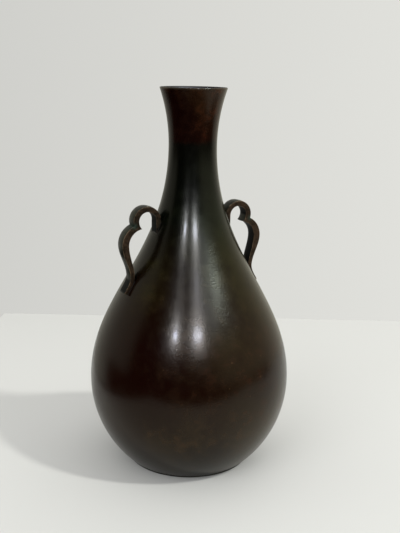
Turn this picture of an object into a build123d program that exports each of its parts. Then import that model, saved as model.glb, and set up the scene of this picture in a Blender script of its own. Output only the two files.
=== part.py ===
from build123d import *
import math
import os

# A pear-shaped bronze bottle vessel with a lobed handle on each shoulder, in millimetres.
# It stands on the plane Z = 0 with its axis on Z, and the handles lie on the X axis.

# Outside outline of the shell, from the foot up
FOOT_RADIUS = 45.2
FOOT_HEIGHT = 2.4
FOOT_BLEND = 0.8  # rounded corner between the belly and the foot
BELLY_LEVEL = 61.5  # foot plane to the widest ring
BELLY_RADIUS = 72.6
BELLY_PULL = 59.5  # how strongly the flank's curve leaves the belly upright
FLANK_RISE = 169.0  # widest ring to the narrowest ring of the neck
NECK_PULL = 77.0  # how strongly the flank's curve meets the neck upright
NECK_RADIUS = 16.85
FLARE_RISE = 39.5  # narrowest ring to the lip
MOUTH_RADIUS = 23.55
WALL = 2.8
LIP_ROUND = 0.7
FOOT_ROUND = 0.6

# Base disc, let into the foot from below
FOOT_RING_WIDTH = 4.5  # rest face between the foot's edge and the disc's seat
BASE_RECESS = 1.6  # foot plane up to the disc
BASE_THICKNESS = 2.4
BASE_CLEARANCE = 0.1
LEDGE_WIDTH = 3.0  # ledge inside the foot that the disc is pushed up against
LEDGE_THICKNESS = 2.0
BASE_SOLDER_LEG = 1.2

# Handle strap in its own upright plane, with heights measured down from the upper lobe's centre
LOBE_DROP = 50.6  # narrowest ring of the neck down to the upper lobe's centre
LOBE_STAND = 10.2  # shell to the upper lobe's centre
LOBE_RADIUS = 10.1
LOBE_STRAP = 4.0  # strap's thickness on the lobe's far side
ROOT_STRAP = 3.3  # strap's thickness on the lobe's near side, down to the upper foot
NOTCH_ANGLE = 17.0  # where the two lobes meet outside, in degrees below the upper lobe's centre
CUSP_DROP = 5.2  # where they meet inside
CUSP_STAND = 12.2
BULGE_DROP = 16.4
BULGE_STAND = 21.8
BULGE_STRAP = 4.8
WAIST_DROP = 38.9
WAIST_STAND = 4.2
WAIST_STRAP = 2.8
TOE_DROP = 49.9
TOE_STAND = 3.0
STRAP_WIDTH = 9.0
EDGE_ROUND = 0.9

# Pins and solder that hold each handle
UPPER_PIN_DROP = 2.9
LOWER_PIN_DROP = 45.2
PIN_RADIUS = 1.1
PIN_DEPTH = 1.4  # length of the pin inside the handle's foot
PIN_CLEARANCE = 0.05
PIN_HEAD_RADIUS = 2.3
PIN_HEAD_HEIGHT = 1.1
SOLDER_GAP = 0.3  # shell to the handle's feet
SOLDER_CLEARANCE = 0.05  # on each face of the solder in that gap
SOLDER_MARGIN = 0.4  # solder showing on each side of the strap

# Levels and radii that follow from the sizes above
NECK_LEVEL = BELLY_LEVEL + FLANK_RISE
HEIGHT = NECK_LEVEL + FLARE_RISE
LOBE_LEVEL = NECK_LEVEL - LOBE_DROP
SEAT_RADIUS = FOOT_RADIUS - FOOT_RING_WIDTH
SEAT_LEVEL = BASE_RECESS + BASE_THICKNESS
LEDGE_LEVEL = SEAT_LEVEL + LEDGE_THICKNESS
PIN_HOLE_RADIUS = PIN_RADIUS + PIN_CLEARANCE
FLANK_STEPS = 10


def arc_radius(run, rise):
    """Radius of an arc that starts upright and moves sideways by run while it rises."""
    return (run**2 + rise**2) / (2 * run)


BELLY_ARC = arc_radius(BELLY_RADIUS - FOOT_RADIUS, BELLY_LEVEL - FOOT_HEIGHT)
FLARE_ARC = arc_radius(MOUTH_RADIUS - NECK_RADIUS, FLARE_RISE)


def flank(t):
    """Point and outward normal of the flank's S-curve, from the belly at 0 to the neck at 1."""
    radii = (BELLY_RADIUS, BELLY_RADIUS, NECK_RADIUS, NECK_RADIUS)
    levels = (BELLY_LEVEL, BELLY_LEVEL + BELLY_PULL, NECK_LEVEL - NECK_PULL, NECK_LEVEL)
    weights = ((1 - t) ** 3, 3 * t * (1 - t) ** 2, 3 * t**2 * (1 - t), t**3)
    slopes = ((1 - t) ** 2, 2 * t * (1 - t), t**2)
    point = Vector(
        sum(w * r for w, r in zip(weights, radii)),
        sum(w * z for w, z in zip(weights, levels)),
    )
    run = sum(s * (b - a) for s, a, b in zip(slopes, radii, radii[1:]))
    rise = sum(s * (b - a) for s, a, b in zip(slopes, levels, levels[1:]))
    return point, Vector(rise, -run).normalized()


def flank_at(level):
    """Point and outward normal of the flank at a height."""
    low, high = 0.0, 1.0
    for _ in range(50):
        middle = (low + high) / 2
        if flank(middle)[0].Y < level:
            low = middle
        else:
            high = middle
    return flank(low)


def flank_curve(grow):
    """The flank's curve, moved outward by grow."""
    points = []
    for step in range(FLANK_STEPS + 1):
        point, normal = flank(step / FLANK_STEPS)
        points.append(point + normal * grow)
    return Spline(points, tangents=[(0, 1), (0, 1)])


def turned(*edges):
    """Solid of revolution about Z from a closed outline of radius and height."""
    return revolve(Plane.XZ * make_face(edges), Axis.Z)


def flank_plug(grow):
    """The space inside the flank, filled to the axis and grown outward."""
    curve = flank_curve(grow)
    return turned(curve, Polyline(curve @ 1, (0, NECK_LEVEL), (0, BELLY_LEVEL), curve @ 0))


def mouth_arc(grow):
    """Flare from the narrowest ring to the lip, moved outward by grow."""
    radius = FLARE_ARC - grow
    centre = NECK_RADIUS + FLARE_ARC
    edge = centre - math.sqrt(radius**2 - FLARE_RISE**2)
    return TangentArc((centre - radius, NECK_LEVEL), (edge, HEIGHT), tangent=(0, 1))


def belly_arc(grow, level):
    """Belly below the widest ring, from a height up, moved outward by grow."""
    radius = BELLY_ARC + grow
    centre = BELLY_RADIUS - BELLY_ARC
    edge = centre + math.sqrt(radius**2 - (BELLY_LEVEL - level) ** 2)
    return TangentArc((centre + radius, BELLY_LEVEL), (edge, level), tangent=(0, -1))


def round_rings(shell, level, beyond, size):
    """Round the turned edges at a height that lie beyond a radius."""
    rings = shell.edges().filter_by(GeomType.CIRCLE)
    rings = rings.filter_by(lambda ring: abs(ring.center().Z - level) < 0.01)
    return fillet(rings.filter_by(lambda ring: ring.radius > beyond + 0.01), size)


def make_shell():
    """Cast wall with its foot ring, ledge and flared lip, before the pin holes."""
    belly = belly_arc(0, FOOT_HEIGHT)
    mouth = mouth_arc(0)
    inner_mouth = mouth_arc(-WALL)
    inner_belly = belly_arc(-WALL, LEDGE_LEVEL)
    lip = Line(mouth @ 1, inner_mouth @ 1)
    foot = Polyline(
        inner_belly @ 1,
        (SEAT_RADIUS - LEDGE_WIDTH, LEDGE_LEVEL),
        (SEAT_RADIUS - LEDGE_WIDTH, SEAT_LEVEL),
        (SEAT_RADIUS, SEAT_LEVEL),
        (SEAT_RADIUS, 0),
        (FOOT_RADIUS, 0),
        belly @ 1,
    )
    outside = (belly, flank_curve(0), mouth)
    inside = (inner_mouth, flank_curve(-WALL), inner_belly)
    shell = turned(*outside, lip, *inside, *foot.edges())
    shell = round_rings(shell, HEIGHT, 0, LIP_ROUND)
    shell = round_rings(shell, FOOT_HEIGHT, SEAT_RADIUS, FOOT_BLEND)
    return round_rings(shell, 0, SEAT_RADIUS, FOOT_ROUND)


def make_base_disc():
    """Disc that closes the foot, pushed up against the ledge."""
    disc = Cylinder(SEAT_RADIUS - BASE_CLEARANCE, BASE_THICKNESS)
    return Pos(0, 0, BASE_RECESS + BASE_THICKNESS / 2) * disc


def make_base_solder():
    """Hollow fillet of solder in the corner below the disc."""
    top = (SEAT_RADIUS - BASE_SOLDER_LEG, BASE_RECESS)
    low = (SEAT_RADIUS, BASE_RECESS - BASE_SOLDER_LEG)
    corner = (SEAT_RADIUS, BASE_RECESS)
    return turned(Polyline(low, corner, top), RadiusArc(top, low, BASE_SOLDER_LEG))


def beside(drop, stand):
    """Point beside the flank: a drop below the upper lobe's centre, and a stand off the shell."""
    level = LOBE_LEVEL - drop
    return Vector(flank_at(level)[0].X + stand, level)


def swoop(start, end, end_direction):
    """Curve that leaves start straight down and arrives at end along a direction."""
    pull = (start.Y - end.Y) / 3
    return Bezier(start, start - Vector(0, pull), end - end_direction * pull, end)


def strap_outline():
    """Closed outline of a handle's strap, with both feet running on into the shell."""
    down = Vector(0, -1)
    lobe = beside(0, LOBE_STAND)
    lobe_arc = CenterArc(lobe, LOBE_RADIUS, 180, -180 - NOTCH_ANGLE)
    eye_radius = LOBE_RADIUS - (LOBE_STRAP + ROOT_STRAP) / 2
    eye_arc = CenterArc(lobe + Vector((ROOT_STRAP - LOBE_STRAP) / 2, 0), eye_radius, 0, 180)
    bulge = beside(BULGE_DROP, BULGE_STAND)
    inner_bulge = bulge - Vector(BULGE_STRAP, 0)
    waist = beside(WAIST_DROP, WAIST_STAND)
    inner_waist = waist - Vector(WAIST_STRAP, 0)
    toe = beside(TOE_DROP, TOE_STAND)
    normal = flank_at(toe.Y)[1]
    toe_end = toe - normal * ((toe.X - inner_waist.X) / normal.X)
    cusp = beside(CUSP_DROP, CUSP_STAND)
    root_level = waist.Y
    return [
        lobe_arc,
        TangentArc(bulge, lobe_arc @ 1, tangent=(0, 1)),
        swoop(bulge, waist, down),
        swoop(waist, toe, Vector(normal.Y, -normal.X)),
        *Polyline(toe, toe_end, inner_waist).edges(),
        swoop(inner_bulge, inner_waist, down),
        TangentArc(inner_bulge, cusp, tangent=(0, 1)),
        TangentArc(eye_arc @ 0, cusp, tangent=(0, -1)),
        eye_arc,
        *Polyline(
            eye_arc @ 1,
            ((eye_arc @ 1).X, root_level),
            ((lobe_arc @ 0).X, root_level),
            lobe_arc @ 0,
        ).edges(),
    ]


def strap(width):
    """Strap of a handle with square edges, before its feet are cut to the shell."""
    return extrude(Plane.XZ * make_face(strap_outline()), width / 2, both=True)


def pin_place(drop):
    """Plane on the shell where a pin goes in, with its Z axis pointing straight out of the wall."""
    point, normal = flank_at(LOBE_LEVEL - drop)
    return Plane((point.X, 0, point.Y), x_dir=(0, 1, 0), z_dir=(normal.X, 0, normal.Y))


def pin_hole(drop):
    """Hole through the wall and the solder into a handle's foot."""
    length = WALL + SOLDER_GAP + PIN_DEPTH
    hole = Cylinder(PIN_HOLE_RADIUS, length + WALL, align=(Align.CENTER, Align.CENTER, Align.MAX))
    return pin_place(drop) * Pos(0, 0, length - WALL) * hole


def make_pin(drop):
    """Pin from inside the vessel into a handle's foot, with a domed head on the inner wall."""
    end = SOLDER_GAP + PIN_DEPTH - PIN_CLEARANCE
    length = end + WALL + PIN_HEAD_HEIGHT / 2
    shank = Cylinder(PIN_RADIUS, length, align=(Align.CENTER, Align.CENTER, Align.MAX))
    dome_radius = (PIN_HEAD_RADIUS**2 + PIN_HEAD_HEIGHT**2) / (2 * PIN_HEAD_HEIGHT)
    dome = Pos(0, 0, dome_radius - PIN_HEAD_HEIGHT - WALL) * Sphere(dome_radius)
    collar = Pos(0, 0, -WALL) * Cylinder(PIN_HEAD_RADIUS, 2 * PIN_HEAD_HEIGHT)
    head = pin_place(drop) * (dome & collar) & flank_plug(-WALL)
    return head + pin_place(drop) * Pos(0, 0, end) * shank


def make_handle():
    """Right-hand handle, rounded at its edges, seated on its solder and drilled for its pins."""
    body = strap(STRAP_WIDTH)
    for side in (0, -1):
        face = body.faces().filter_by(Axis.Y).sort_by(Axis.Y)[side]
        body = fillet(face.edges(), EDGE_ROUND)
    return body - flank_plug(SOLDER_GAP) - pin_hole(UPPER_PIN_DROP) - pin_hole(LOWER_PIN_DROP)


def make_solders():
    """Upper and lower solder film between the right-hand handle's feet and the shell."""
    film = strap(STRAP_WIDTH + 2 * SOLDER_MARGIN) & flank_plug(SOLDER_GAP - SOLDER_CLEARANCE)
    film = film - flank_plug(SOLDER_CLEARANCE)
    film = film - pin_hole(UPPER_PIN_DROP) - pin_hole(LOWER_PIN_DROP)
    lower, upper = film.solids().sort_by(Axis.Z)
    return upper, lower


def write(name, piece):
    """Write one piece to its own file."""
    export_step(piece, f"parts/{name}.step")


os.makedirs("parts", exist_ok=True)

handle = make_handle()
upper_solder, lower_solder = make_solders()
side_pieces = {
    "handle": handle,
    "upper_pin": make_pin(UPPER_PIN_DROP),
    "lower_pin": make_pin(LOWER_PIN_DROP),
    "upper_solder": upper_solder,
    "lower_solder": lower_solder,
}

vessel_shell = make_shell()
for pin_drop in (UPPER_PIN_DROP, LOWER_PIN_DROP):
    hole = pin_hole(pin_drop)
    vessel_shell = vessel_shell - hole - mirror(hole, Plane.YZ)

write("vessel_shell", vessel_shell)
write("base_disc", make_base_disc())
write("base_solder_ring", make_base_solder())
for piece_name, piece in side_pieces.items():
    write(f"right_{piece_name}", piece)
    write(f"left_{piece_name}", mirror(piece, Plane.YZ))
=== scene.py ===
import logging
import math
from abc import ABC, abstractmethod
from collections.abc import Callable, Iterable, Sequence
from dataclasses import dataclass
from enum import Enum
from typing import ClassVar

import bmesh
import bpy
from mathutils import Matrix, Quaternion, Vector


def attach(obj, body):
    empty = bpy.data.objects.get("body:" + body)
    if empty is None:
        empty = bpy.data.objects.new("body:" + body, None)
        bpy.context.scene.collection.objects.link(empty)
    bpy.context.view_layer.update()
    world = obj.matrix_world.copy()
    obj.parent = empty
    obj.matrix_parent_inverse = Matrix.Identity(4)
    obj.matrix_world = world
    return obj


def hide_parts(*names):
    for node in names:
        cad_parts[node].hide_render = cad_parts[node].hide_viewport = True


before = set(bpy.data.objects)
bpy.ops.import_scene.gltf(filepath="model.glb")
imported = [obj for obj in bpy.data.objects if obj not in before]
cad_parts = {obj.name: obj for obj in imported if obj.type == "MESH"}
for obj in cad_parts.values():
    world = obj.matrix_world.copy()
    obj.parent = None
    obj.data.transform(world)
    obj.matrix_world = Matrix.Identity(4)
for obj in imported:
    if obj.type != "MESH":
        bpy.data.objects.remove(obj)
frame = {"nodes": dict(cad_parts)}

# A waxed bronze bottle vessel with a lobed handle on each shoulder.
# Shapes are modelled in millimetres and become metres in finish_mesh.
Tree = bpy.types.NodeTree
Socket = bpy.types.NodeSocket
Material = bpy.types.Material
Edges = list[bmesh.types.BMEdge]
Inputs = dict[str | int, object]

LOG = logging.getLogger("vessel")
BODY = "root"
MM = 0.001
MERGE_DISTANCE = 0.001
SHARP_ANGLE = math.radians(38)
HALVINGS = 40
# A Mix node repeats its sockets' names for each kind of value, so its colour sockets go by number.
SHARE, UNDER, OVER, MIXED = 0, 6, 7, 2


class Side(Enum):
    """Which shoulder a handle sits on, as the sign of its X."""

    LEFT = -1
    RIGHT = 1

    def node(self, piece: str) -> str:
        """Name of this side's node for a piece."""
        return f"{self.name.lower()}_{piece}"


class Reach(Enum):
    """Which part of a surface a lamp lights: its mirroring gloss or its matt ground."""

    GLOSS = "gloss"
    MATT = "matt"


def linear(colour: str) -> tuple[float, float, float, float]:
    """Turn an sRGB hex colour into linear red, green, blue and alpha.

    Args:
        colour: Six hex digits after a hash sign.

    Returns:
        The four linear values.
    """
    parts = [int(colour[i : i + 2], 16) / 255 for i in (1, 3, 5)]
    flat = [p / 12.92 if p <= 0.04045 else ((p + 0.055) / 1.055) ** 2.4 for p in parts]
    return (*flat, 1.0)


def per_mm(size: float) -> float:
    """Texture scale that repeats a pattern about every size millimetres."""
    return 1 / (size * MM)


def add_node(tree: Tree, kind: str, inputs: Inputs | None = None, **settings: object) -> bpy.types.Node:
    """Add a node with its settings, and set or link its inputs.

    Args:
        tree: Node tree that takes the node.
        kind: Blender's name for the node.
        inputs: Input names or numbers, each with a value or with an output to link.
        settings: Properties of the node.

    Returns:
        The new node.
    """
    node = tree.nodes.new(kind)
    for name, value in settings.items():
        setattr(node, name, value)
    for name, value in (inputs or {}).items():
        if isinstance(value, Socket):
            tree.links.new(value, node.inputs[name])
        else:
            node.inputs[name].default_value = value
    return node


def halve(low: float, high: float, below: Callable[[float], bool]) -> float:
    """Find where a test stops holding, by halving a stretch again and again.

    Args:
        low: End of the stretch where the test holds.
        high: End where it doesn't.
        below: The test.

    Returns:
        The value at which it stops.
    """
    for _ in range(HALVINGS):
        middle = (low + high) / 2
        if below(middle):
            low = middle
        else:
            high = middle
    return low


def bezier_point(knots: Sequence[Vector], share: float) -> Vector:
    """Point of a curve through repeated interpolation of its control points.

    Args:
        knots: Control points.
        share: 0 at the first control point, 1 at the last.

    Returns:
        The point.
    """
    points = list(knots)
    while len(points) > 1:
        points = [a.lerp(b, share) for a, b in zip(points, points[1:])]
    return points[0]


def bezier_points(knots: Sequence[Vector], count: int) -> list[Vector]:
    """Points along a curve at a count of even steps, both ends included."""
    return [bezier_point(knots, i / count) for i in range(count + 1)]


def arc_radius(run: float, rise: float) -> float:
    """Radius of an arc that is upright at one end and leans over by a run in its rise."""
    return (run**2 + rise**2) / (2 * run)


def arc_points(centre: Vector, start: Vector, turn: float, count: int) -> list[Vector]:
    """Points along an arc in the upright plane, both ends included.

    Args:
        centre: Centre of the arc.
        start: First point.
        turn: Angle in radians, positive from +X towards +Z.
        count: Number of steps.

    Returns:
        One point more than the steps.
    """
    arm = start - centre
    axis = Vector((0, -1, 0))
    return [centre + Quaternion(axis, turn * i / count) @ arm for i in range(count + 1)]


def wire(bm: bmesh.types.BMesh, points: Iterable[Vector], closed: bool = False) -> Edges:
    """Lay edges through points.

    Args:
        bm: Mesh that takes the edges.
        points: Points in order.
        closed: Whether the last point joins the first.

    Returns:
        The edges.
    """
    verts = [bm.verts.new(p) for p in points]
    pairs = list(zip(verts, verts[1:]))
    if closed:
        pairs.append((verts[-1], verts[0]))
    return [bm.edges.new(pair) for pair in pairs]


def round_edges(
    bm: bmesh.types.BMesh, edges: Edges, radius: float, segments: int, slide: bool = False
) -> list[bmesh.types.BMVert]:
    """Round edges of a mesh.

    Args:
        bm: Mesh with the edges.
        edges: Edges to round.
        radius: Size of the rounding.
        segments: Number of faces across it.
        slide: Whether it slides along the edges that it meets.

    Returns:
        The new vertices.
    """
    made = bmesh.ops.bevel(
        bm,
        geom=edges,
        offset=radius,
        offset_type="OFFSET",
        segments=segments,
        profile=0.5,
        affect="EDGES",
        clamp_overlap=True,
        loop_slide=slide,
        material=-1,
    )
    return made["verts"]


def finish_mesh(bm: bmesh.types.BMesh, name: str, materials: Sequence[Material]) -> bpy.types.Object:
    """Turn a mesh in millimetres into a smooth object in metres.

    Args:
        bm: Finished mesh, which is freed.
        name: Name of the piece.
        materials: Its materials, in the order of its faces' numbers.

    Returns:
        The object, at the origin.
    """
    bmesh.ops.remove_doubles(bm, verts=bm.verts, dist=MERGE_DISTANCE)
    bmesh.ops.recalc_face_normals(bm, faces=bm.faces)
    bmesh.ops.scale(bm, vec=(MM, MM, MM), verts=bm.verts)
    mesh = bpy.data.meshes.new(name)
    bm.to_mesh(mesh)
    bm.free()
    mesh.shade_smooth()
    mesh.set_sharp_from_angle(angle=SHARP_ANGLE)
    for material in materials:
        mesh.materials.append(material)
    piece = bpy.data.objects.new(name, mesh)
    bpy.context.scene.collection.objects.link(piece)
    return piece


@dataclass(frozen=True)
class Finish(ABC):
    """What all finishes share: one shader, with its patterns laid by the piece's own coordinates."""

    name: str

    @abstractmethod
    def surface(self, tree: Tree, place: Socket) -> Inputs:
        """Shader's inputs by name, from the coordinates on the piece."""

    def build(self) -> Material:
        """Make the material.

        Returns:
            The material.
        """
        material = bpy.data.materials.new(self.name)
        material.use_nodes = True
        tree = material.node_tree
        tree.nodes.clear()
        place = add_node(tree, "ShaderNodeTexCoord").outputs["Object"]
        shader = add_node(tree, "ShaderNodeBsdfPrincipled", self.surface(tree, place))
        add_node(tree, "ShaderNodeOutputMaterial", {"Surface": shader.outputs[0]})
        return material


@dataclass(frozen=True)
class WaxedPatina(Finish):
    """Cast bronze under a dark chemical patina, polished and waxed.

    The patina hides the metal, so little light comes back from inside it and the wax gives most of
    what the eye sees: soft lamp streaks, pale edges, and dark tones that shift from red-brown to
    green-black.
    """

    name: str = "waxed_patinated_bronze"
    # Heights of the tones below, from the foot to the lip. The two that are close together make the
    # line low on the flare, where green-black turns to red.
    levels_mm: tuple[float, ...] = (0.0, 40.0, 75.0, 100.0, 125.0, 155.0, 182.0, 234.7, 237.2, 270.0)
    deep: tuple[str, ...] = (
        "#0a0806", "#170a02", "#130200", "#130200", "#120500",
        "#0c0501", "#030502", "#010201", "#0d0000", "#0f0100",
    )
    pale: tuple[str, ...] = (
        "#1c1912", "#281e0d", "#190d03", "#1d1003", "#201803",
        "#1e1b05", "#101407", "#030402", "#130300", "#231306",
    )
    rust: tuple[str, ...] = (
        "#231a10", "#35200c", "#2a1104", "#291204", "#261504",
        "#1f1906", "#0c1206", "#030402", "#2a0a01", "#3c1e0a",
    )
    fleck: str = "#8a6a4a"
    wear: str = "#4a463a"
    # Reflections pick up a little amber in the patina.
    amber: str = "#fff7de"
    metallic: float = 0.1
    sheen_level: float = 0.18
    wax: float = 0.065
    wax_roughness: float = 0.13
    ragged_mm: float = 24.0
    mottle_share: float = 0.35
    # Level direction in which the tones are painted paler, as long as the gain: painted light on the side
    # towards the camera's right, where the right-hand lamps shine.
    lit_side_lean: tuple[float, float, float] = (0.17, -0.08, 0.0)
    fleck_level_mm: float = 82.0
    # Patterns, scaled by the real size of their patches.
    cloud: ClassVar[Inputs] = {"Scale": per_mm(48.0), "Detail": 4.0, "Roughness": 0.52}
    mottle: ClassVar[Inputs] = {"Scale": per_mm(7.0), "Detail": 3.0, "Roughness": 0.55, "Distortion": 0.2}
    cells: ClassVar[Inputs] = {"Scale": per_mm(5.0)}
    # Cast grain breaks the lamps' reflections into a soft sparkle. The real one is finer than the
    # picture can show, so it is drawn coarser.
    grain: ClassVar[Inputs] = {"Scale": per_mm(1.0), "Detail": 1.0}
    grain_relief: ClassVar[Inputs] = {"Distance": 0.066 * MM}
    # Where in its pattern each tone or gloss comes in, and how far it goes.
    pale_range: ClassVar[Inputs] = {"From Min": 0.52, "From Max": 0.94}
    rust_range: ClassVar[Inputs] = {"From Min": 0.46, "From Max": 0.78, "To Max": 0.65}
    roughness_range: ClassVar[Inputs] = {"From Min": 0.3, "From Max": 0.7, "To Min": 0.21, "To Max": 0.27}
    fleck_range: ClassVar[Inputs] = {"From Min": 0.05, "From Max": 0.09, "To Min": 1.0, "To Max": 0.0}
    fleck_cloud: ClassVar[Inputs] = {"From Min": 0.48, "From Max": 0.62}
    # Flecks grow rare over this distance above and below their level.
    fleck_band: ClassVar[Inputs] = {"From Max": 17.0 * MM, "To Min": 1.0, "To Max": 0.06}

    def surface(self, tree: Tree, place: Socket) -> Inputs:
        """Mottled dark ground under smooth wax.

        Args:
            tree: Material's nodes.
            place: Coordinates on the piece.

        Returns:
            The shader's inputs by name.
        """
        height = add_node(tree, "ShaderNodeSeparateXYZ", {0: place}).outputs["Z"]
        cloud, mottle, grain = (
            add_node(tree, "ShaderNodeTexNoise", {"Vector": place} | pattern).outputs["Fac"]
            for pattern in (self.cloud, self.mottle, self.grain)
        )
        level = self.level(tree, height, cloud)
        colour = self.colour(tree, place, level, cloud, mottle)
        colour = self.flecks(tree, place, height, cloud, colour)
        rubbed = add_node(tree, "ShaderNodeAttribute", attribute_name="wear").outputs["Fac"]
        rubbed = add_node(tree, "ShaderNodeMath", {0: rubbed, 1: mottle}, operation="MULTIPLY").outputs[0]
        layers = {SHARE: rubbed, UNDER: colour, OVER: linear(self.wear)}
        colour = add_node(tree, "ShaderNodeMix", layers, data_type="RGBA").outputs[MIXED]
        dull = {"Value": mottle} | self.roughness_range
        relief = {"Height": grain} | self.grain_relief
        return {
            "Base Color": colour,
            "Metallic": self.metallic,
            "Roughness": add_node(tree, "ShaderNodeMapRange", dull).outputs[0],
            "Specular IOR Level": self.sheen_level,
            "Specular Tint": linear(self.amber),
            "Coat Weight": self.wax,
            "Coat Roughness": self.wax_roughness,
            "Normal": add_node(tree, "ShaderNodeBump", relief).outputs[0],
        }

    def level(self, tree: Tree, height: Socket, cloud: Socket) -> Socket:
        """Height in metres, made ragged by the clouds so that tones don't change along a ruled line.

        Args:
            tree: Material's nodes.
            height: Height on the piece.
            cloud: Cloud pattern.

        Returns:
            The ragged height.
        """
        reach = self.ragged_mm * MM / 2
        wander = {"Value": cloud, "To Min": -reach, "To Max": reach}
        ragged = add_node(tree, "ShaderNodeMapRange", wander).outputs[0]
        return add_node(tree, "ShaderNodeMath", {0: height, 1: ragged}).outputs[0]

    def colour(self, tree: Tree, place: Socket, level: Socket, cloud: Socket, mottle: Socket) -> Socket:
        """Deep and pale tones in clouds with rust spots, from brown at the foot to red at the lip.

        Args:
            tree: Material's nodes.
            place: Coordinates on the piece.
            level: Ragged height.
            cloud: Cloud pattern.
            mottle: Finer pattern.

        Returns:
            The colour.
        """
        both = {0: mottle, 1: self.mottle_share, 2: cloud}
        paleness = add_node(tree, "ShaderNodeMath", both, operation="MULTIPLY_ADD").outputs[0]
        # Painted light: the tones grow paler towards the camera's right, the side that the right-hand lamps
        # light.
        flat = {0: place, 1: (1.0, 1.0, 0.0)}
        around = add_node(tree, "ShaderNodeVectorMath", flat, operation="MULTIPLY").outputs[0]
        around = add_node(tree, "ShaderNodeVectorMath", {0: around}, operation="NORMALIZE").outputs[0]
        leaning = {0: around, 1: self.lit_side_lean}
        gain = add_node(tree, "ShaderNodeVectorMath", leaning, operation="DOT_PRODUCT").outputs["Value"]
        paleness = add_node(tree, "ShaderNodeMath", {0: paleness, 1: gain}).outputs[0]
        pale = {"Value": paleness} | self.pale_range
        clouds = add_node(tree, "ShaderNodeMapRange", pale, interpolation_type="SMOOTHSTEP").outputs[0]
        rust = {"Value": mottle} | self.rust_range
        spots = add_node(tree, "ShaderNodeMapRange", rust, interpolation_type="SMOOTHSTEP").outputs[0]
        spots = add_node(tree, "ShaderNodeMath", {0: spots, 1: clouds}, operation="MULTIPLY").outputs[0]
        tone = self.run_of_tones(tree, level, self.deep)
        for share, tones in ((clouds, self.pale), (spots, self.rust)):
            layers = {SHARE: share, UNDER: tone, OVER: self.run_of_tones(tree, level, tones)}
            tone = add_node(tree, "ShaderNodeMix", layers, data_type="RGBA").outputs[MIXED]
        return tone

    def run_of_tones(self, tree: Tree, level: Socket, tones: Sequence[str]) -> Socket:
        """Colour that changes up the vessel.

        Args:
            tree: Material's nodes.
            level: Ragged height.
            tones: Colour at each of the heights.

        Returns:
            The colour.
        """
        top = self.levels_mm[-1]
        share = add_node(tree, "ShaderNodeMapRange", {"Value": level, "From Max": top * MM}).outputs[0]
        ramp = add_node(tree, "ShaderNodeValToRGB", {"Fac": share})
        stops = ramp.color_ramp.elements
        for height in self.levels_mm[1:-1]:
            stops.new(height / top)
        for stop, tone in zip(stops, tones):
            stop.color = linear(tone)
        return ramp.outputs["Color"]

    def flecks(self, tree: Tree, place: Socket, height: Socket, cloud: Socket, colour: Socket) -> Socket:
        """Scattered pale pinpoints where the patina has chipped, mostly along the belly.

        Args:
            tree: Material's nodes.
            place: Coordinates on the piece.
            height: Height on the piece.
            cloud: Cloud pattern, which thins the pinpoints out.
            colour: Colour under them.

        Returns:
            The colour with the pinpoints.
        """
        cells = add_node(tree, "ShaderNodeTexVoronoi", {"Vector": place} | self.cells)
        dots = {"Value": cells.outputs["Distance"]} | self.fleck_range
        share = add_node(tree, "ShaderNodeMapRange", dots).outputs[0]
        middle = {0: height, 1: self.fleck_level_mm * MM}
        off = add_node(tree, "ShaderNodeMath", middle, operation="SUBTRACT").outputs[0]
        off = add_node(tree, "ShaderNodeMath", {0: off}, operation="ABSOLUTE").outputs[0]
        band = {"Value": off} | self.fleck_band
        thin = {"Value": cloud} | self.fleck_cloud
        masks = (
            add_node(tree, "ShaderNodeMapRange", band, interpolation_type="SMOOTHSTEP").outputs[0],
            add_node(tree, "ShaderNodeMapRange", thin).outputs[0],
        )
        for mask in masks:
            share = add_node(tree, "ShaderNodeMath", {0: share, 1: mask}, operation="MULTIPLY").outputs[0]
        layers = {SHARE: share, UNDER: colour, OVER: linear(self.fleck)}
        return add_node(tree, "ShaderNodeMix", layers, data_type="RGBA").outputs[MIXED]


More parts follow.
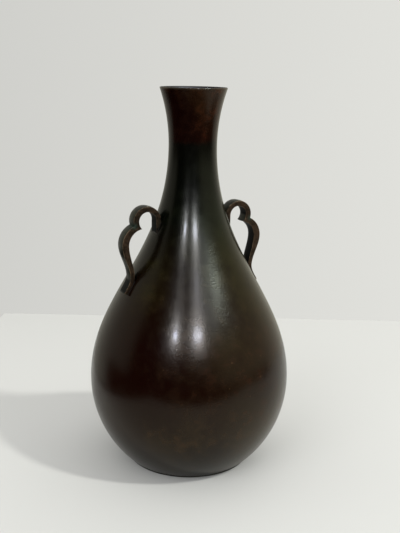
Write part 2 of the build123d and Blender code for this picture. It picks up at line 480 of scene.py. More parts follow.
@dataclass(frozen=True)
class HandledBronze(Finish):
    """The same cast bronze on the handles, rubbed bright on the arrises, with verdigris in the corners.

    Hands wear the patina through at the edges, so thin coppery lines catch the light there, and the
    deep notch between the lobes keeps a blue-green bloom.
    """

    name: str = "hand_worn_patinated_bronze"
    brown: str = "#271b13"
    # Dark tone of the patina, also used as painted shade on the faces inside the loops.
    dark: str = "#080703"
    # Olive tone of the outer faces: partly patina film, partly a painted reflection of the surround.
    film_and_reflection: str = "#2a2c20"
    copper: str = "#d8b48c"
    verdigris: str = "#25392f"
    metallic: float = 0.3
    worn_metallic: float = 0.4
    sheen_level: float = 0.14
    roughness: float = 0.3
    inner_roughness: float = 0.65
    notch_radius_mm: float = 45.4
    notch_level_mm: float = 177.0
    # Patterns, scaled by the real size of their patches.
    cloud: ClassVar[Inputs] = {"Scale": per_mm(9.0), "Detail": 6.0, "Roughness": 0.65}
    scratch: ClassVar[Inputs] = {"Scale": per_mm(1.6), "Detail": 4.0, "Roughness": 0.7}
    scratch_relief: ClassVar[Inputs] = {"Strength": 0.35, "Distance": 0.15 * MM}
    # Where brown tones and bare lines come in. Both patterns together are about 1 on average.
    tone_range: ClassVar[Inputs] = {"From Min": 0.8, "From Max": 1.2}
    worn_range: ClassVar[Inputs] = {"From Min": 0.75, "From Max": 1.15}
    # The bloom thins out over this distance from the notch.
    bloom_range: ClassVar[Inputs] = {"From Max": 3.2 * MM, "To Min": 1.4, "To Max": 0.0}

    def surface(self, tree: Tree, place: Socket) -> Inputs:
        """Scratched patina, bare where it is rubbed, and dull and painted dark as shade inside the loops.

        Args:
            tree: Material's nodes.
            place: Coordinates on the piece.

        Returns:
            The shader's inputs by name.
        """
        cloud = add_node(tree, "ShaderNodeTexNoise", {"Vector": place} | self.cloud).outputs["Fac"]
        scratch = add_node(tree, "ShaderNodeTexNoise", {"Vector": place} | self.scratch).outputs["Fac"]
        both = add_node(tree, "ShaderNodeMath", {0: cloud, 1: scratch}).outputs[0]
        inner = add_node(tree, "ShaderNodeAttribute", attribute_name="inner").outputs["Fac"]
        worn = self.worn(tree, both)
        bloom = self.bloom(tree, place, scratch)
        bare = {"Value": worn, "To Min": self.metallic, "To Max": self.worn_metallic}
        dull = add_node(tree, "ShaderNodeMath", {0: inner, 1: bloom}, operation="MAXIMUM").outputs[0]
        rough = {"Value": dull, "To Min": self.roughness, "To Max": self.inner_roughness}
        relief = {"Height": scratch} | self.scratch_relief
        return {
            "Base Color": self.colour(tree, both, inner, worn, bloom),
            "Metallic": add_node(tree, "ShaderNodeMapRange", bare).outputs[0],
            "Roughness": add_node(tree, "ShaderNodeMapRange", rough).outputs[0],
            "Specular IOR Level": self.sheen_level,
            "Normal": add_node(tree, "ShaderNodeBump", relief).outputs[0],
        }

    def colour(self, tree: Tree, both: Socket, inner: Socket, worn: Socket, bloom: Socket) -> Socket:
        """Brown cheeks, olive outer faces that are partly patina film and partly a painted reflection, dark
        inside the loops as painted shade, bare lines on the arrises, verdigris in the notch.

        Args:
            tree: Material's nodes.
            both: Wide and fine pattern together.
            inner: 1 on the faces inside the loops.
            worn: How far the patina is rubbed through.
            bloom: How thick the verdigris is.

        Returns:
            The colour.
        """
        pale = {"Value": both} | self.tone_range
        share = add_node(tree, "ShaderNodeMapRange", pale, interpolation_type="SMOOTHSTEP").outputs[0]
        cheek = add_node(tree, "ShaderNodeAttribute", attribute_name="cheek").outputs["Fac"]
        # Partly painted reflection: faces off the cheeks take the olive tone, and the cheeks take the
        # brown.
        layers = {SHARE: cheek, UNDER: linear(self.film_and_reflection), OVER: linear(self.brown)}
        tone = add_node(tree, "ShaderNodeMix", layers, data_type="RGBA").outputs[MIXED]
        layers = {SHARE: share, UNDER: linear(self.dark), OVER: tone}
        tone = add_node(tree, "ShaderNodeMix", layers, data_type="RGBA").outputs[MIXED]
        # Painted shade: the faces inside the loops take the dark tone, then bare lines and verdigris go
        # over it.
        for mask, other in ((inner, self.dark), (worn, self.copper), (bloom, self.verdigris)):
            layers = {SHARE: mask, UNDER: tone, OVER: linear(other)}
            tone = add_node(tree, "ShaderNodeMix", layers, data_type="RGBA").outputs[MIXED]
        return tone

    def worn(self, tree: Tree, both: Socket) -> Socket:
        """How far the patina is rubbed through, broken up along the arrises.

        Args:
            tree: Material's nodes.
            both: Wide and fine pattern together.

        Returns:
            0 where the patina is whole, 1 on bare bronze.
        """
        edge = add_node(tree, "ShaderNodeAttribute", attribute_name="wear").outputs["Fac"]
        broken = add_node(tree, "ShaderNodeMapRange", {"Value": both} | self.worn_range).outputs[0]
        return add_node(tree, "ShaderNodeMath", {0: edge, 1: broken}, operation="MULTIPLY").outputs[0]

    def bloom(self, tree: Tree, place: Socket, scratch: Socket) -> Socket:
        """Verdigris in the notch between the lobes, on both handles.

        Args:
            tree: Material's nodes.
            place: Coordinates on the piece.
            scratch: Fine pattern that frays the bloom.

        Returns:
            0 on clean metal, up to 1 in the notch.
        """
        flat = add_node(tree, "ShaderNodeVectorMath", {0: place}, operation="ABSOLUTE").outputs[0]
        upright = {0: flat, 1: (1.0, 0.0, 1.0)}
        flat = add_node(tree, "ShaderNodeVectorMath", upright, operation="MULTIPLY").outputs[0]
        notch = {0: flat, 1: (self.notch_radius_mm * MM, 0.0, self.notch_level_mm * MM)}
        gap = add_node(tree, "ShaderNodeVectorMath", notch, operation="DISTANCE").outputs["Value"]
        near = add_node(tree, "ShaderNodeMapRange", {"Value": gap} | self.bloom_range).outputs[0]
        frayed = {0: near, 1: scratch}
        return add_node(tree, "ShaderNodeMath", frayed, operation="MULTIPLY", use_clamp=True).outputs[0]


@dataclass(frozen=True)
class CastBronze(Finish):
    """Bronze as it came from the mould, only toned: dull, grainy and darker in its pits."""

    tone: str
    pit: str
    metallic: float = 0.4
    roughness: float = 0.55
    roughness_spread: float = 0.24
    # Patterns, scaled by the real size of their patches.
    cloud: ClassVar[Inputs] = {"Scale": per_mm(12.0), "Detail": 5.0, "Roughness": 0.6}
    grain: ClassVar[Inputs] = {"Scale": per_mm(1.4), "Detail": 5.0, "Roughness": 0.65}
    grain_relief: ClassVar[Inputs] = {"Strength": 0.35, "Distance": 0.2 * MM}
    # Where pits end in tone and in gloss. Both patterns together are about 1 on average.
    tone_range: ClassVar[Inputs] = {"From Min": 0.75, "From Max": 1.2}
    gloss_range: ClassVar[Inputs] = {"From Min": 0.7, "From Max": 1.3}

    def surface(self, tree: Tree, place: Socket) -> Inputs:
        """Toned metal, dark and dull in its pits.

        Args:
            tree: Material's nodes.
            place: Coordinates on the piece.

        Returns:
            The shader's inputs by name.
        """
        cloud = add_node(tree, "ShaderNodeTexNoise", {"Vector": place} | self.cloud).outputs["Fac"]
        grain = add_node(tree, "ShaderNodeTexNoise", {"Vector": place} | self.grain).outputs["Fac"]
        both = add_node(tree, "ShaderNodeMath", {0: cloud, 1: grain}).outputs[0]
        share = add_node(tree, "ShaderNodeMapRange", {"Value": both} | self.tone_range).outputs[0]
        layers = {SHARE: share, UNDER: linear(self.pit), OVER: linear(self.tone)}
        spread = self.roughness_spread / 2
        dull = {"Value": both, "To Min": self.roughness + spread, "To Max": self.roughness - spread}
        relief = {"Height": grain} | self.grain_relief
        return {
            "Base Color": add_node(tree, "ShaderNodeMix", layers, data_type="RGBA").outputs[MIXED],
            "Metallic": self.metallic,
            "Roughness": add_node(tree, "ShaderNodeMapRange", dull | self.gloss_range).outputs[0],
            "Normal": add_node(tree, "ShaderNodeBump", relief).outputs[0],
        }


@dataclass(frozen=True)
class MattPaint(Finish):
    """Matt white paint, rolled on: an even pale ground with a very faint stipple."""

    name: str = "matt_white_paint"
    colour: str = "#cfcfcc"
    roughness: float = 0.6
    stipple: ClassVar[Inputs] = {"Scale": per_mm(2.5), "Detail": 3.0}
    stipple_relief: ClassVar[Inputs] = {"Strength": 0.05, "Distance": 0.2 * MM}

    def surface(self, tree: Tree, place: Socket) -> Inputs:
        """Even colour over a faint stipple.

        Args:
            tree: Material's nodes.
            place: Coordinates on the piece.

        Returns:
            The shader's inputs by name.
        """
        stipple = add_node(tree, "ShaderNodeTexNoise", {"Vector": place} | self.stipple).outputs["Fac"]
        relief = {"Height": stipple} | self.stipple_relief
        return {
            "Base Color": linear(self.colour),
            "Roughness": self.roughness,
            "Normal": add_node(tree, "ShaderNodeBump", relief).outputs[0],
        }


@dataclass
class VesselShell:
    """Cast wall of the vessel with its foot, ledge and flared lip, turned from one half section."""

    foot_radius: float = 45.2
    foot_height: float = 0.8
    belly_level: float = 61.5
    belly_radius: float = 72.6
    belly_pull: float = 59.5
    flank_rise: float = 169.0
    neck_pull: float = 77.0
    neck_radius: float = 16.85
    flare_rise: float = 39.5
    mouth_radius: float = 23.55
    wall: float = 2.8
    foot_ring_width: float = 4.5
    seat_level: float = 4.0
    ledge_width: float = 3.0
    ledge_thickness: float = 2.0
    lip_round: float = 0.8
    lip_wear: float = 0.5
    foot_round: float = 0.35
    foot_wear: float = 0.4
    foot_blend: float = 0.3
    round_segments: int = 4
    turn_steps: int = 168
    flank_steps: int = 60
    arc_steps: int = 26

    @property
    def neck_level(self) -> float:
        """Height of the narrowest ring."""
        return self.belly_level + self.flank_rise

    @property
    def height(self) -> float:
        """Height of the lip."""
        return self.neck_level + self.flare_rise

    def flank_knots(self) -> list[Vector]:
        """Give the control points of the flank's S-curve.

        Returns:
            The points, from the belly to the neck.
        """
        low = Vector((self.belly_radius, 0, self.belly_level))
        high = Vector((self.neck_radius, 0, self.neck_level))
        up = Vector((0, 0, 1))
        return [low, low + up * self.belly_pull, high - up * self.neck_pull, high]

    def share_at(self, level: float) -> float:
        """Share of the flank's curve at a height."""
        knots = self.flank_knots()
        return halve(0.0, 1.0, lambda share: bezier_point(knots, share).z < level)

    def radius_at(self, level: float) -> float:
        """Outside radius of the flank at a height."""
        return bezier_point(self.flank_knots(), self.share_at(level)).x

    def level_at(self, radius: float) -> float:
        """Height at which the flank has an outside radius."""
        return halve(self.belly_level, self.neck_level, lambda level: self.radius_at(level) > radius)

    def flank_normal(self, share: float) -> Vector:
        """Outward direction of the flank.

        Args:
            share: Share of its curve.

        Returns:
            The unit direction.
        """
        knots = self.flank_knots()
        steps = [b - a for a, b in zip(knots, knots[1:])]
        along = bezier_point(steps, share).normalized()
        return Vector((along.z, 0, -along.x))

    def flank_points(self, grow: float) -> list[Vector]:
        """Points of the flank from the belly to the neck, moved outward.

        Args:
            grow: Distance outward.

        Returns:
            The points.
        """
        shares = [i / self.flank_steps for i in range(self.flank_steps + 1)]
        return [bezier_point(self.flank_knots(), s) + self.flank_normal(s) * grow for s in shares]

    def belly_points(self, grow: float, level: float) -> list[Vector]:
        """Points of the lower belly from a height up to the widest ring, moved outward.

        Args:
            grow: Distance outward.
            level: Height of the lowest point.

        Returns:
            The points.
        """
        radius = arc_radius(self.belly_radius - self.foot_radius, self.belly_level - self.foot_height)
        centre = Vector((self.belly_radius - radius, 0, self.belly_level))
        top = centre + Vector((radius + grow, 0, 0))
        turn = -math.asin((self.belly_level - level) / (radius + grow))
        return arc_points(centre, top, turn, self.arc_steps)[::-1]

    def flare_points(self, grow: float) -> list[Vector]:
        """Points of the flare from the narrowest ring to the lip, moved outward.

        Args:
            grow: Distance outward.

        Returns:
            The points.
        """
        radius = arc_radius(self.mouth_radius - self.neck_radius, self.flare_rise)
        centre = Vector((self.neck_radius + radius, 0, self.neck_level))
        low = centre - Vector((radius - grow, 0, 0))
        turn = -math.asin(self.flare_rise / (radius - grow))
        return arc_points(centre, low, turn, self.arc_steps)

    def half_section(self) -> list[Vector]:
        """Outline of the wall on one side of the axis.

        Returns:
            The points of the closed outline, from the ledge round the foot, up outside and down inside.
        """
        seat = self.foot_radius - self.foot_ring_width
        ledge = self.seat_level + self.ledge_thickness
        foot = [
            Vector((seat - self.ledge_width, 0, ledge)),
            Vector((seat - self.ledge_width, 0, self.seat_level)),
            Vector((seat, 0, self.seat_level)),
            Vector((seat, 0, 0)),
            Vector((self.foot_radius, 0, 0)),
        ]
        outside, inside = (
            [*self.belly_points(grow, level), *self.flank_points(grow)[1:], *self.flare_points(grow)[1:]]
            for grow, level in ((0, self.foot_height), (-self.wall, ledge))
        )
        return [*foot, *outside, *inside[::-1]]

    @staticmethod
    def rings(bm: bmesh.types.BMesh, level: float, radius: float, reach: float) -> Edges:
        """Find the edges of the rings at a height and close to a radius.

        Args:
            bm: Mesh of the wall.
            level: Height of the rings.
            radius: Middle radius.
            reach: How far from that radius a ring may lie.

        Returns:
            The edges.
        """
        flat = [v for v in bm.verts if abs(v.co.z - level) < MERGE_DISTANCE]
        near = {v: v.co.xy.length for v in flat if abs(v.co.xy.length - radius) < reach}
        level_edges = [e for e in bm.edges if all(v in near for v in e.verts)]
        return [e for e in level_edges if abs(near[e.verts[0]] - near[e.verts[1]]) < MERGE_DISTANCE]

    def is_inside(self, point: Vector) -> bool:
        """Tell what shows from what lies in the hollow or under the foot.

        Args:
            point: Point of the wall.

        Returns:
            Whether it lies in the hollow or under the foot.
        """
        if point.z < self.foot_height:
            return point.xy.length < self.foot_radius - 2 * self.foot_round
        middle = -self.wall / 2
        if point.z < self.belly_level:
            limit = min(self.belly_points(middle, self.foot_height), key=lambda p: abs(p.z - point.z)).x
        elif point.z < self.neck_level:
            limit = self.radius_at(point.z) + middle
        else:
            limit = min(self.flare_points(middle), key=lambda p: abs(p.z - point.z)).x
        return point.xy.length < limit

    def build(self, outside: Material, inside: Material) -> bpy.types.Object:
        """Model and dress the wall.

        Args:
            outside: Finish of what shows.
            inside: Finish of the hollow and the underside.

        Returns:
            The piece.
        """
        bm = bmesh.new()
        wear = bm.verts.layers.float.new("wear")
        section = wire(bm, self.half_section(), closed=True)
        bmesh.ops.spin(
            bm,
            geom=[*bm.verts, *section],
            cent=(0, 0, 0),
            axis=(0, 0, 1),
            angle=math.tau,
            steps=self.turn_steps,
            use_merge=True,
        )
        lip = self.rings(bm, self.height, self.mouth_radius, 2 * self.wall)
        for vert in round_edges(bm, lip, self.lip_round, self.round_segments):
            vert[wear] = self.lip_wear
        corner = self.rings(bm, self.foot_height, self.foot_radius, MERGE_DISTANCE)
        round_edges(bm, corner, self.foot_blend, self.round_segments)
        foot = self.rings(bm, 0, self.foot_radius, MERGE_DISTANCE)
        for vert in round_edges(bm, foot, self.foot_round, self.round_segments):
            vert[wear] = self.foot_wear
        for face in bm.faces:
            face.material_index = int(self.is_inside(face.calc_center_median()))
        piece = finish_mesh(bm, "bronze_shell", [outside, inside])
        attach(piece, BODY)
        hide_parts("vessel_shell")
        return piece


@dataclass
class LobedHandle:
    """Strap handle of two lobes that meet in a notch, standing on the shoulder on two feet.

    Drops are distances below the upper lobe's centre, and stands are distances off the shell.
    """

    side: Side
    shell: VesselShell
    lobe_drop: float = 50.6
    lobe_stand: float = 10.2
    lobe_radius: float = 10.1
    lobe_strap: float = 4.0
    root_strap: float = 3.3
    notch_angle: float = 17.0
    cusp_drop: float = 5.2
    cusp_stand: float = 12.2
    bulge_drop: float = 16.4
    bulge_stand: float = 21.8
    bulge_strap: float = 4.8
    waist_drop: float = 38.9
    waist_stand: float = 4.2
    waist_strap: float = 2.8
    toe_drop: float = 49.9
    toe_stand: float = 3.0
    strap_width: float = 9.0
    edge_round: float = 1.0
    edge_segments: int = 4
    crown: float = 0.3
    loop_drop: float = 10.0
    loop_stand: float = 11.0
    solder_gap: float = 0.3
    seat_reach: float = 0.9
    # Least share of Y in the normal of a flat side.
    flat_share: float = 0.9
    # How far that share may be from halfway round an arris where the arris is still rubbed.
    arris_width: float = 0.3
    lobe_steps: int = 28
    notch_steps: int = 5
    bulge_steps: int = 12
    leg_steps: int = 14
    tail_steps: int = 8

    @property
    def lobe_level(self) -> float:
        """Height of the upper lobe's centre, whose drop is from the narrowest ring of the neck."""
        return self.shell.neck_level - self.lobe_drop

    def beside(self, drop: float, stand: float) -> Vector:
        """Point beside the shell, in the handle's upright plane."""
        level = self.lobe_level - drop
        return Vector((self.shell.radius_at(level) + stand, 0, level))

    @staticmethod
    def upright_arc(start: Vector, end: Vector, count: int) -> list[Vector]:
        """Arc that comes from a start and stands upright at its end, both ends included.

        Args:
            start: First point.
            end: Point where the arc is upright.
            count: Number of steps.

        Returns:
            The points.
        """
        radius = arc_radius(end.x - start.x, start.z - end.z)
        centre = end - Vector((radius, 0, 0))
        arm = start - centre
        turn = math.atan2(arm.z, arm.x)
        return arc_points(centre, start, -turn, count)

    @staticmethod
    def swoop(start: Vector, end: Vector, direction: Vector, count: int) -> list[Vector]:
        """Curve that leaves its start straight down and arrives at its end along a direction.

        Args:
            start: First point.
            end: Last point.
            direction: Unit direction at the end.
            count: Number of steps.

        Returns:
            The points.
        """
        pull = (start.z - end.z) / 3
        knots = [start, start - Vector((0, 0, pull)), end - direction * pull, end]
        return bezier_points(knots, count)

    def strap_lines(self) -> tuple[list[Vector], list[Vector]]:
        """Draw the strap from its upper foot to its toe.

        Returns:
            Its outer and its inner line, point for point.
        """
        shell = self.shell
        down = Vector((0, 0, -1))
        lobe = self.beside(0, self.lobe_stand)
        outer_root = lobe - Vector((self.lobe_radius, 0, 0))
        inner_root = outer_root + Vector((self.root_strap, 0, 0))
        outer_foot, inner_foot = (
            Vector((root.x, 0, shell.level_at(root.x - self.solder_gap)))
            for root in (outer_root, inner_root)
        )
        eye_radius = self.lobe_radius - (self.lobe_strap + self.root_strap) / 2
        eye = inner_root + Vector((eye_radius, 0, 0))
        over = arc_points(lobe, outer_root, -math.pi, self.lobe_steps)
        notch = arc_points(lobe, over[-1], -math.radians(self.notch_angle), self.notch_steps)
        eye_over = arc_points(eye, inner_root, -math.pi, self.lobe_steps)
        cusp = self.beside(self.cusp_drop, self.cusp_stand)
        eye_side = self.upright_arc(cusp, eye_over[-1], self.notch_steps)[::-1]
        bulge = self.beside(self.bulge_drop, self.bulge_stand)
        inner_bulge = bulge - Vector((self.bulge_strap, 0, 0))
        waist = self.beside(self.waist_drop, self.waist_stand)
        inner_waist = waist - Vector((self.waist_strap, 0, 0))
        toe = self.beside(self.toe_drop, self.toe_stand)
        normal = shell.flank_normal(shell.share_at(toe.z))
        inner_toe = toe - normal * (self.toe_stand * normal.x - self.solder_gap)
        outer = [
            outer_foot,
            *over,
            *notch[1:],
            *self.upright_arc(notch[-1], bulge, self.bulge_steps)[1:],
            *self.swoop(bulge, waist, down, self.leg_steps)[1:],
            *self.swoop(waist, toe, Vector((normal.z, 0, -normal.x)), self.tail_steps)[1:],
        ]
        tail = bezier_points([inner_waist, inner_toe], self.tail_steps)
        tail = [Vector((max(inner_waist.x, shell.radius_at(p.z) + self.solder_gap), 0, p.z)) for p in tail]
        inner = [
            inner_foot,
            *eye_over,
            *eye_side[1:],
            *self.upright_arc(cusp, inner_bulge, self.bulge_steps)[1:],
            *self.swoop(inner_bulge, inner_waist, down, self.leg_steps)[1:],
            *tail[1:],
        ]
        return outer, inner

    def seat(self, bm: bmesh.types.BMesh) -> None:
        """Bring the two feet down to the solder on the round shell.

        Args:
            bm: Mesh of the strap.
        """
        waist_level = self.lobe_level - self.waist_drop
        for vert in bm.verts:
            around = vert.co.xy.length
            if vert.co.z > waist_level + self.strap_width:
                if around - self.shell.radius_at(vert.co.z) < self.seat_reach:
                    vert.co.z = self.shell.level_at(around - self.solder_gap)
            elif vert.co.z < waist_level:
                floor = self.shell.radius_at(vert.co.z) + self.solder_gap
                if around < floor + self.solder_gap:
                    vert.co.x = math.sqrt(floor**2 - vert.co.y**2)

    def mark(self, bm: bmesh.types.BMesh) -> None:
        """Mark the arrises, the flat cheeks and the faces inside the loops for the finish.

        Args:
            bm: Mesh of the strap.
        """
        wear, cheek, inner = (bm.verts.layers.float.new(name) for name in ("wear", "cheek", "inner"))
        middle = self.beside(self.loop_drop, self.loop_stand)
        halfway = math.sqrt(0.5)
        bm.normal_update()
        for vert in bm.verts:
            flat = abs(vert.normal.y)
            stand = vert.co.xy.length - self.shell.radius_at(vert.co.z)
            free = stand > self.edge_round + self.solder_gap
            inward = vert.normal.dot(Vector((middle.x, vert.co.y, middle.z)) - vert.co) > 0
            vert[wear] = free * max(0.0, 1 - abs(flat - halfway) / self.arris_width)
            # The cheeks keep the brown; the other faces take an olive tone that is partly a painted
            # reflection of the surround.
            vert[cheek] = flat
            # Faces inside the loops, which the finish paints dark as shade.
            vert[inner] = (1 - flat) * inward

    def build(self, finish: Material) -> bpy.types.Object:
        """Model and dress the handle.

        Args:
            finish: Its material.

        Returns:
            The piece.
        """
        bm = bmesh.new()
        outer, inner = self.strap_lines()
        lines = [*wire(bm, outer), *wire(bm, inner)]
        bmesh.ops.bridge_loops(bm, edges=lines)
        bmesh.ops.translate(bm, vec=(0, -self.strap_width / 2, 0), verts=bm.verts)
        grown = bmesh.ops.extrude_face_region(bm, geom=bm.faces[:])["geom"]
        far = [g for g in grown if isinstance(g, bmesh.types.BMVert)]
        bmesh.ops.translate(bm, vec=(0, self.strap_width, 0), verts=far)
        bmesh.ops.recalc_face_normals(bm, faces=bm.faces)
        everything = [*bm.verts, *bm.edges, *bm.faces]
        bmesh.ops.bisect_plane(bm, geom=everything, plane_co=(0, 0, 0), plane_no=(0, 1, 0))
        bm.normal_update()
        for vert in bm.verts:
            if abs(vert.co.y) < MERGE_DISTANCE:
                vert.co += vert.normal * self.crown
        flat = {f for f in bm.faces if abs(f.normal.y) > self.flat_share}
        arrises = [e for e in bm.edges if len(flat.intersection(e.link_faces)) == 1]
        round_edges(bm, arrises, self.edge_round, self.edge_segments, slide=True)
        self.seat(bm)
        self.mark(bm)
        bmesh.ops.scale(bm, vec=(self.side.value, 1, 1), verts=bm.verts)
        piece = finish_mesh(bm, self.side.node("lobed_handle"), [finish])
        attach(piece, BODY)
        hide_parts(self.side.node("handle"))
        return piece


@dataclass
class HiddenFixings:
    """Base disc, pins and solder, which keep their solids and get their own finishes."""

    base: CastBronze
    pin: CastBronze
    solder: CastBronze

    def dress(self, nodes: dict[str, bpy.types.Object]) -> None:
        """Give each kept node its finish.

        Args:
            nodes: The frame's nodes by name.
        """
        finishes = {"base_disc": self.base.build(), "pin": self.pin.build(), "solder": self.solder.build()}
        for name, node in nodes.items():
            finish = next((m for word, m in finishes.items() if word in name), None)
            if finish:
                node.data.materials.clear()
                node.data.materials.append(finish)
                LOG.info("dressed %s as %s", name, finish.name)


@dataclass
class PhotoCamera:
    """Camera at the photo's viewing angle, with its angles in degrees."""

    place_mm: tuple[float, float, float] = (-245.9, -504.3, 286.2)
    heading: float = 26.67
    pitch: float = -14.26
    roll: float = 1.11
    focal_px: float = 802.0
    long_side_px: float = 533.0
    sensor_mm: float = 36.0

    def forward(self) -> Vector:
        """Give the viewing direction.

        Returns:
            The unit direction.
        """
        heading, pitch = math.radians(self.heading), math.radians(self.pitch)
        flat = Vector((math.sin(heading), math.cos(heading), 0)) * math.cos(pitch)
        return flat + Vector((0, 0, math.sin(pitch)))

    def build(self) -> bpy.types.Object:
        """Make the scene's camera.

        Returns:
            The camera.
        """
        lens = bpy.data.cameras.new("photo_camera")
        lens.sensor_width = self.sensor_mm
        lens.lens = self.sensor_mm * self.focal_px / self.long_side_px
        camera = bpy.data.objects.new("photo_camera", lens)
        camera.location = Vector(self.place_mm) * MM
        turn = self.forward().to_track_quat("-Z", "Y")
        camera.rotation_euler = (turn @ Quaternion((0, 0, 1), math.radians(self.roll))).to_euler()
        bpy.context.scene.collection.objects.link(camera)
        bpy.context.scene.camera = camera
        return camera


@dataclass(frozen=True)
class Lamp:
    """Oval lamp aimed at the vessel, placed by the direction in which the vessel sees it.

    Its angles are in degrees, the azimuth to the right of the camera, its sizes in metres and its
    power in watts.
    """

    name: str
    azimuth: float
    elevation: float
    distance: float
    half_width: float
    half_height: float
    power: float
    colour: str
    reach: Reach

    def build(self, heading: float, target: Vector) -> bpy.types.Object:
        """Hang the lamp.

        Args:
            heading: Camera's heading in degrees.
            target: Point that the lamp is aimed at.

        Returns:
            The lamp.
        """
        light = bpy.data.lights.new(self.name, "AREA")
        light.shape = "ELLIPSE"
        light.size = 2 * self.half_width
        light.size_y = 2 * self.half_height
        light.energy = self.power
        light.color = linear(self.colour)[:3]
        turn = math.radians(heading - self.azimuth)
        rise = math.radians(self.elevation)
        out = Vector((-math.sin(turn) * math.cos(rise), -math.cos(turn) * math.cos(rise), math.sin(rise)))
        lamp = bpy.data.objects.new(self.name, light)
        lamp.location = target + out * self.distance
        lamp.rotation_euler = (-out).to_track_quat("-Z", "Y").to_euler()
        lamp.visible_camera = False
        lamp.visible_diffuse = self.reach is Reach.MATT
        lamp.visible_glossy = self.reach is Reach.GLOSS
        bpy.context.scene.collection.objects.link(lamp)
        return lamp


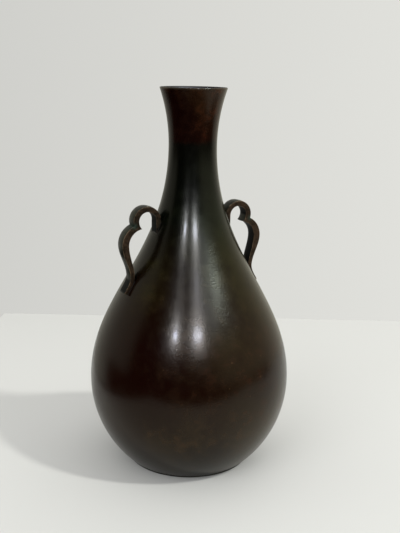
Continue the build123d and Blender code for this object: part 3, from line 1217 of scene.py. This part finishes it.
@dataclass
class Studio:
    """Pale table, soft lamps and the surround that the glossy bronze mirrors."""

    heading: float
    paint: MattPaint = MattPaint()
    table_back: float = 330.0
    table_front: float = 290.0
    table_left: float = 222.0
    table_right: float = 600.0
    table_thickness: float = 40.0
    table_edge: float = 3.0
    edge_segments: int = 3
    backdrop: tuple[str, str] = ("#cececa", "#e2e2dd")
    backdrop_range: ClassVar[Inputs] = {"From Min": -0.3, "From Max": 0.3}
    wall: str = "#bbbab0"
    right_wall: str = "#dcdacc"
    room: str = "#120f0d"
    side: str = "#d8d8c8"
    left: str = "#c2c2b8"
    boards: str = "#3a2318"
    fill: str = "#ececea"
    aim_level: float = 120.0
    lamps: tuple[Lamp, ...] = (
        Lamp("left_spot", -19.3, 30.2, 2.0, 0.06, 0.06, 19.0, "#dfe6ff", Reach.GLOSS),
        Lamp("front_spot", 12.0, 31.0, 2.0, 0.2, 0.1, 29.0, "#dfe6ff", Reach.GLOSS),
        Lamp("front_high", 14.0, 46.0, 2.0, 0.15, 0.15, 7.2, "#dae2ff", Reach.GLOSS),
        Lamp("front_fill", 35.0, 40.0, 2.0, 0.4, 0.4, 5.6, "#deedff", Reach.GLOSS),
        Lamp("right_window", 58.5, 47.0, 3.0, 0.36, 0.36, 142.0, "#ddf1ff", Reach.GLOSS),
        Lamp("left_key", -35.0, 35.0, 2.0, 0.6, 0.6, 8.0, "#fafcff", Reach.MATT),
        Lamp("right_key", 65.5, 47.0, 6.0, 0.24, 0.24, 165.0, "#fffffa", Reach.MATT),
        Lamp("wall_glow", 140.0, 40.0, 0.9, 0.4, 0.4, 1.0, "#ffffff", Reach.MATT),
    )

    def back(self) -> Vector:
        """Level direction from the camera to the vessel."""
        heading = math.radians(self.heading)
        return Vector((math.sin(heading), math.cos(heading), 0))

    def build(self) -> None:
        """Set the table, the lamps and the surround."""
        self.build_table()
        for lamp in self.lamps:
            lamp.build(self.heading, Vector((0, 0, self.aim_level * MM)))
        self.build_surround()
        bpy.context.scene.view_settings.view_transform = "Standard"

    def build_table(self) -> bpy.types.Object:
        """Set the pale table with its long edge square to the camera.

        Returns:
            The table.
        """
        bm = bmesh.new()
        bmesh.ops.create_cube(bm, size=1)
        width = self.table_left + self.table_right
        depth = self.table_back + self.table_front
        bmesh.ops.scale(bm, vec=(width, depth, self.table_thickness), verts=bm.verts)
        shift = (
            (self.table_right - self.table_left) / 2,
            (self.table_back - self.table_front) / 2,
            -self.table_thickness / 2,
        )
        bmesh.ops.translate(bm, vec=shift, verts=bm.verts)
        turn = Quaternion((0, 0, 1), -math.radians(self.heading)).to_matrix()
        bmesh.ops.rotate(bm, cent=(0, 0, 0), matrix=turn, verts=bm.verts)
        round_edges(bm, bm.edges[:], self.table_edge, self.edge_segments)
        table = finish_mesh(bm, "pale_table", [self.paint.build()])
        return table

    def mirrored_room(self, tree: Tree, up: Socket, behind: Socket, aside: Socket) -> Socket:
        """Pale wall behind, lighter side on the right, dark room in front and dark boards below.

        Args:
            tree: Surround's nodes.
            up: How far a direction points up.
            behind: How far it points away from the camera.
            aside: How far it points to the camera's right.

        Returns:
            The colour in that direction.
        """
        spans = {
            "wall": (behind, 0.15, 0.4),
            "flank": (behind, -0.4, -0.15),
            "left": (aside, -0.1, -0.4),
            "right": (aside, 0.3, 0.8),
            "high": (up, -0.25, 0.05),
            "not_left": (aside, 0.0, 0.4),
            "low": (up, 0.0, -0.08),
            "deep": (up, -0.28, -0.36),
        }
        masks = {
            name: add_node(
                tree,
                "ShaderNodeMapRange",
                {"Value": value, "From Min": start, "From Max": end},
                interpolation_type="SMOOTHSTEP",
            ).outputs[0]
            for name, (value, start, end) in spans.items()
        }
        # Each layer covers the ones before it where its one or two masks meet.
        layers = (
            ("right", "high", self.side),
            ("left", "flank", self.left),
            ("low", None, self.boards),
            ("wall", None, self.wall),
            ("wall", "not_left", self.right_wall),
            ("left", "deep", self.room),
        )
        colour = linear(self.room)
        for first, second, tone in layers:
            share = masks[first]
            if second:
                both = {0: share, 1: masks[second]}
                share = add_node(tree, "ShaderNodeMath", both, operation="MULTIPLY").outputs[0]
            mix = {SHARE: share, UNDER: colour, OVER: linear(tone)}
            colour = add_node(tree, "ShaderNodeMix", mix, data_type="RGBA").outputs[MIXED]
        return colour

    def build_surround(self) -> None:
        """Show the camera a plain backdrop, the gloss a room and the matt ground an even fill."""
        world = bpy.data.worlds.new("studio_surround")
        world.use_nodes = True
        tree = world.node_tree
        tree.nodes.clear()
        toward = add_node(tree, "ShaderNodeTexCoord").outputs["Generated"]
        up = add_node(tree, "ShaderNodeSeparateXYZ", {0: toward}).outputs["Z"]
        back = self.back()
        right = Vector((back.y, -back.x, 0))
        shares = (
            add_node(tree, "ShaderNodeVectorMath", {0: toward, 1: way}, operation="DOT_PRODUCT")
            for way in (back, right)
        )
        behind, aside = (share.outputs["Value"] for share in shares)
        colour = self.mirrored_room(tree, up, behind, aside)
        across = add_node(tree, "ShaderNodeMapRange", {"Value": aside} | self.backdrop_range).outputs[0]
        mix = {SHARE: across, UNDER: linear(self.backdrop[0]), OVER: linear(self.backdrop[1])}
        plain = add_node(tree, "ShaderNodeMix", mix, data_type="RGBA").outputs[MIXED]
        rays = add_node(tree, "ShaderNodeLightPath").outputs
        for share, seen in ((rays["Is Diffuse Ray"], linear(self.fill)), (rays["Is Camera Ray"], plain)):
            mix = {SHARE: share, UNDER: colour, OVER: seen}
            colour = add_node(tree, "ShaderNodeMix", mix, data_type="RGBA").outputs[MIXED]
        shader = add_node(tree, "ShaderNodeBackground", {"Color": colour})
        add_node(tree, "ShaderNodeOutputWorld", {"Surface": shader.outputs[0]})
        # Each kind of ray sees its own surround, which holds only for rays that meet it by themselves.
        world.cycles.sampling_method = "NONE"
        bpy.context.scene.world = world


def main() -> None:
    """Build the pieces in order, then the studio around them."""
    logging.basicConfig(level=logging.INFO, format="%(name)s: %(message)s")
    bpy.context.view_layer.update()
    hollow = CastBronze("dark_cast_hollow", tone="#241a12", pit="#0d0a07", roughness=0.6)
    shell = VesselShell()
    piece = shell.build(WaxedPatina().build(), hollow.build())
    LOG.info("built %s with %d faces", piece.name, len(piece.data.polygons))
    handle_finish = HandledBronze().build()
    for side in Side:
        piece = LobedHandle(side, shell).build(handle_finish)
        LOG.info("built %s with %d faces", piece.name, len(piece.data.polygons))
    fixings = HiddenFixings(
        base=CastBronze("toned_base_bronze", tone="#33241a", pit="#120d09"),
        pin=CastBronze("cast_pin_bronze", tone="#6a4c30", pit="#2a1d12", metallic=0.8),
        solder=CastBronze("toned_hard_solder", tone="#2a2018", pit="#14100b", roughness=0.45),
    )
    fixings.dress(frame["nodes"])
    camera = PhotoCamera()
    camera.build()
    Studio(heading=camera.heading).build()


if __name__ == "__main__":
    main()
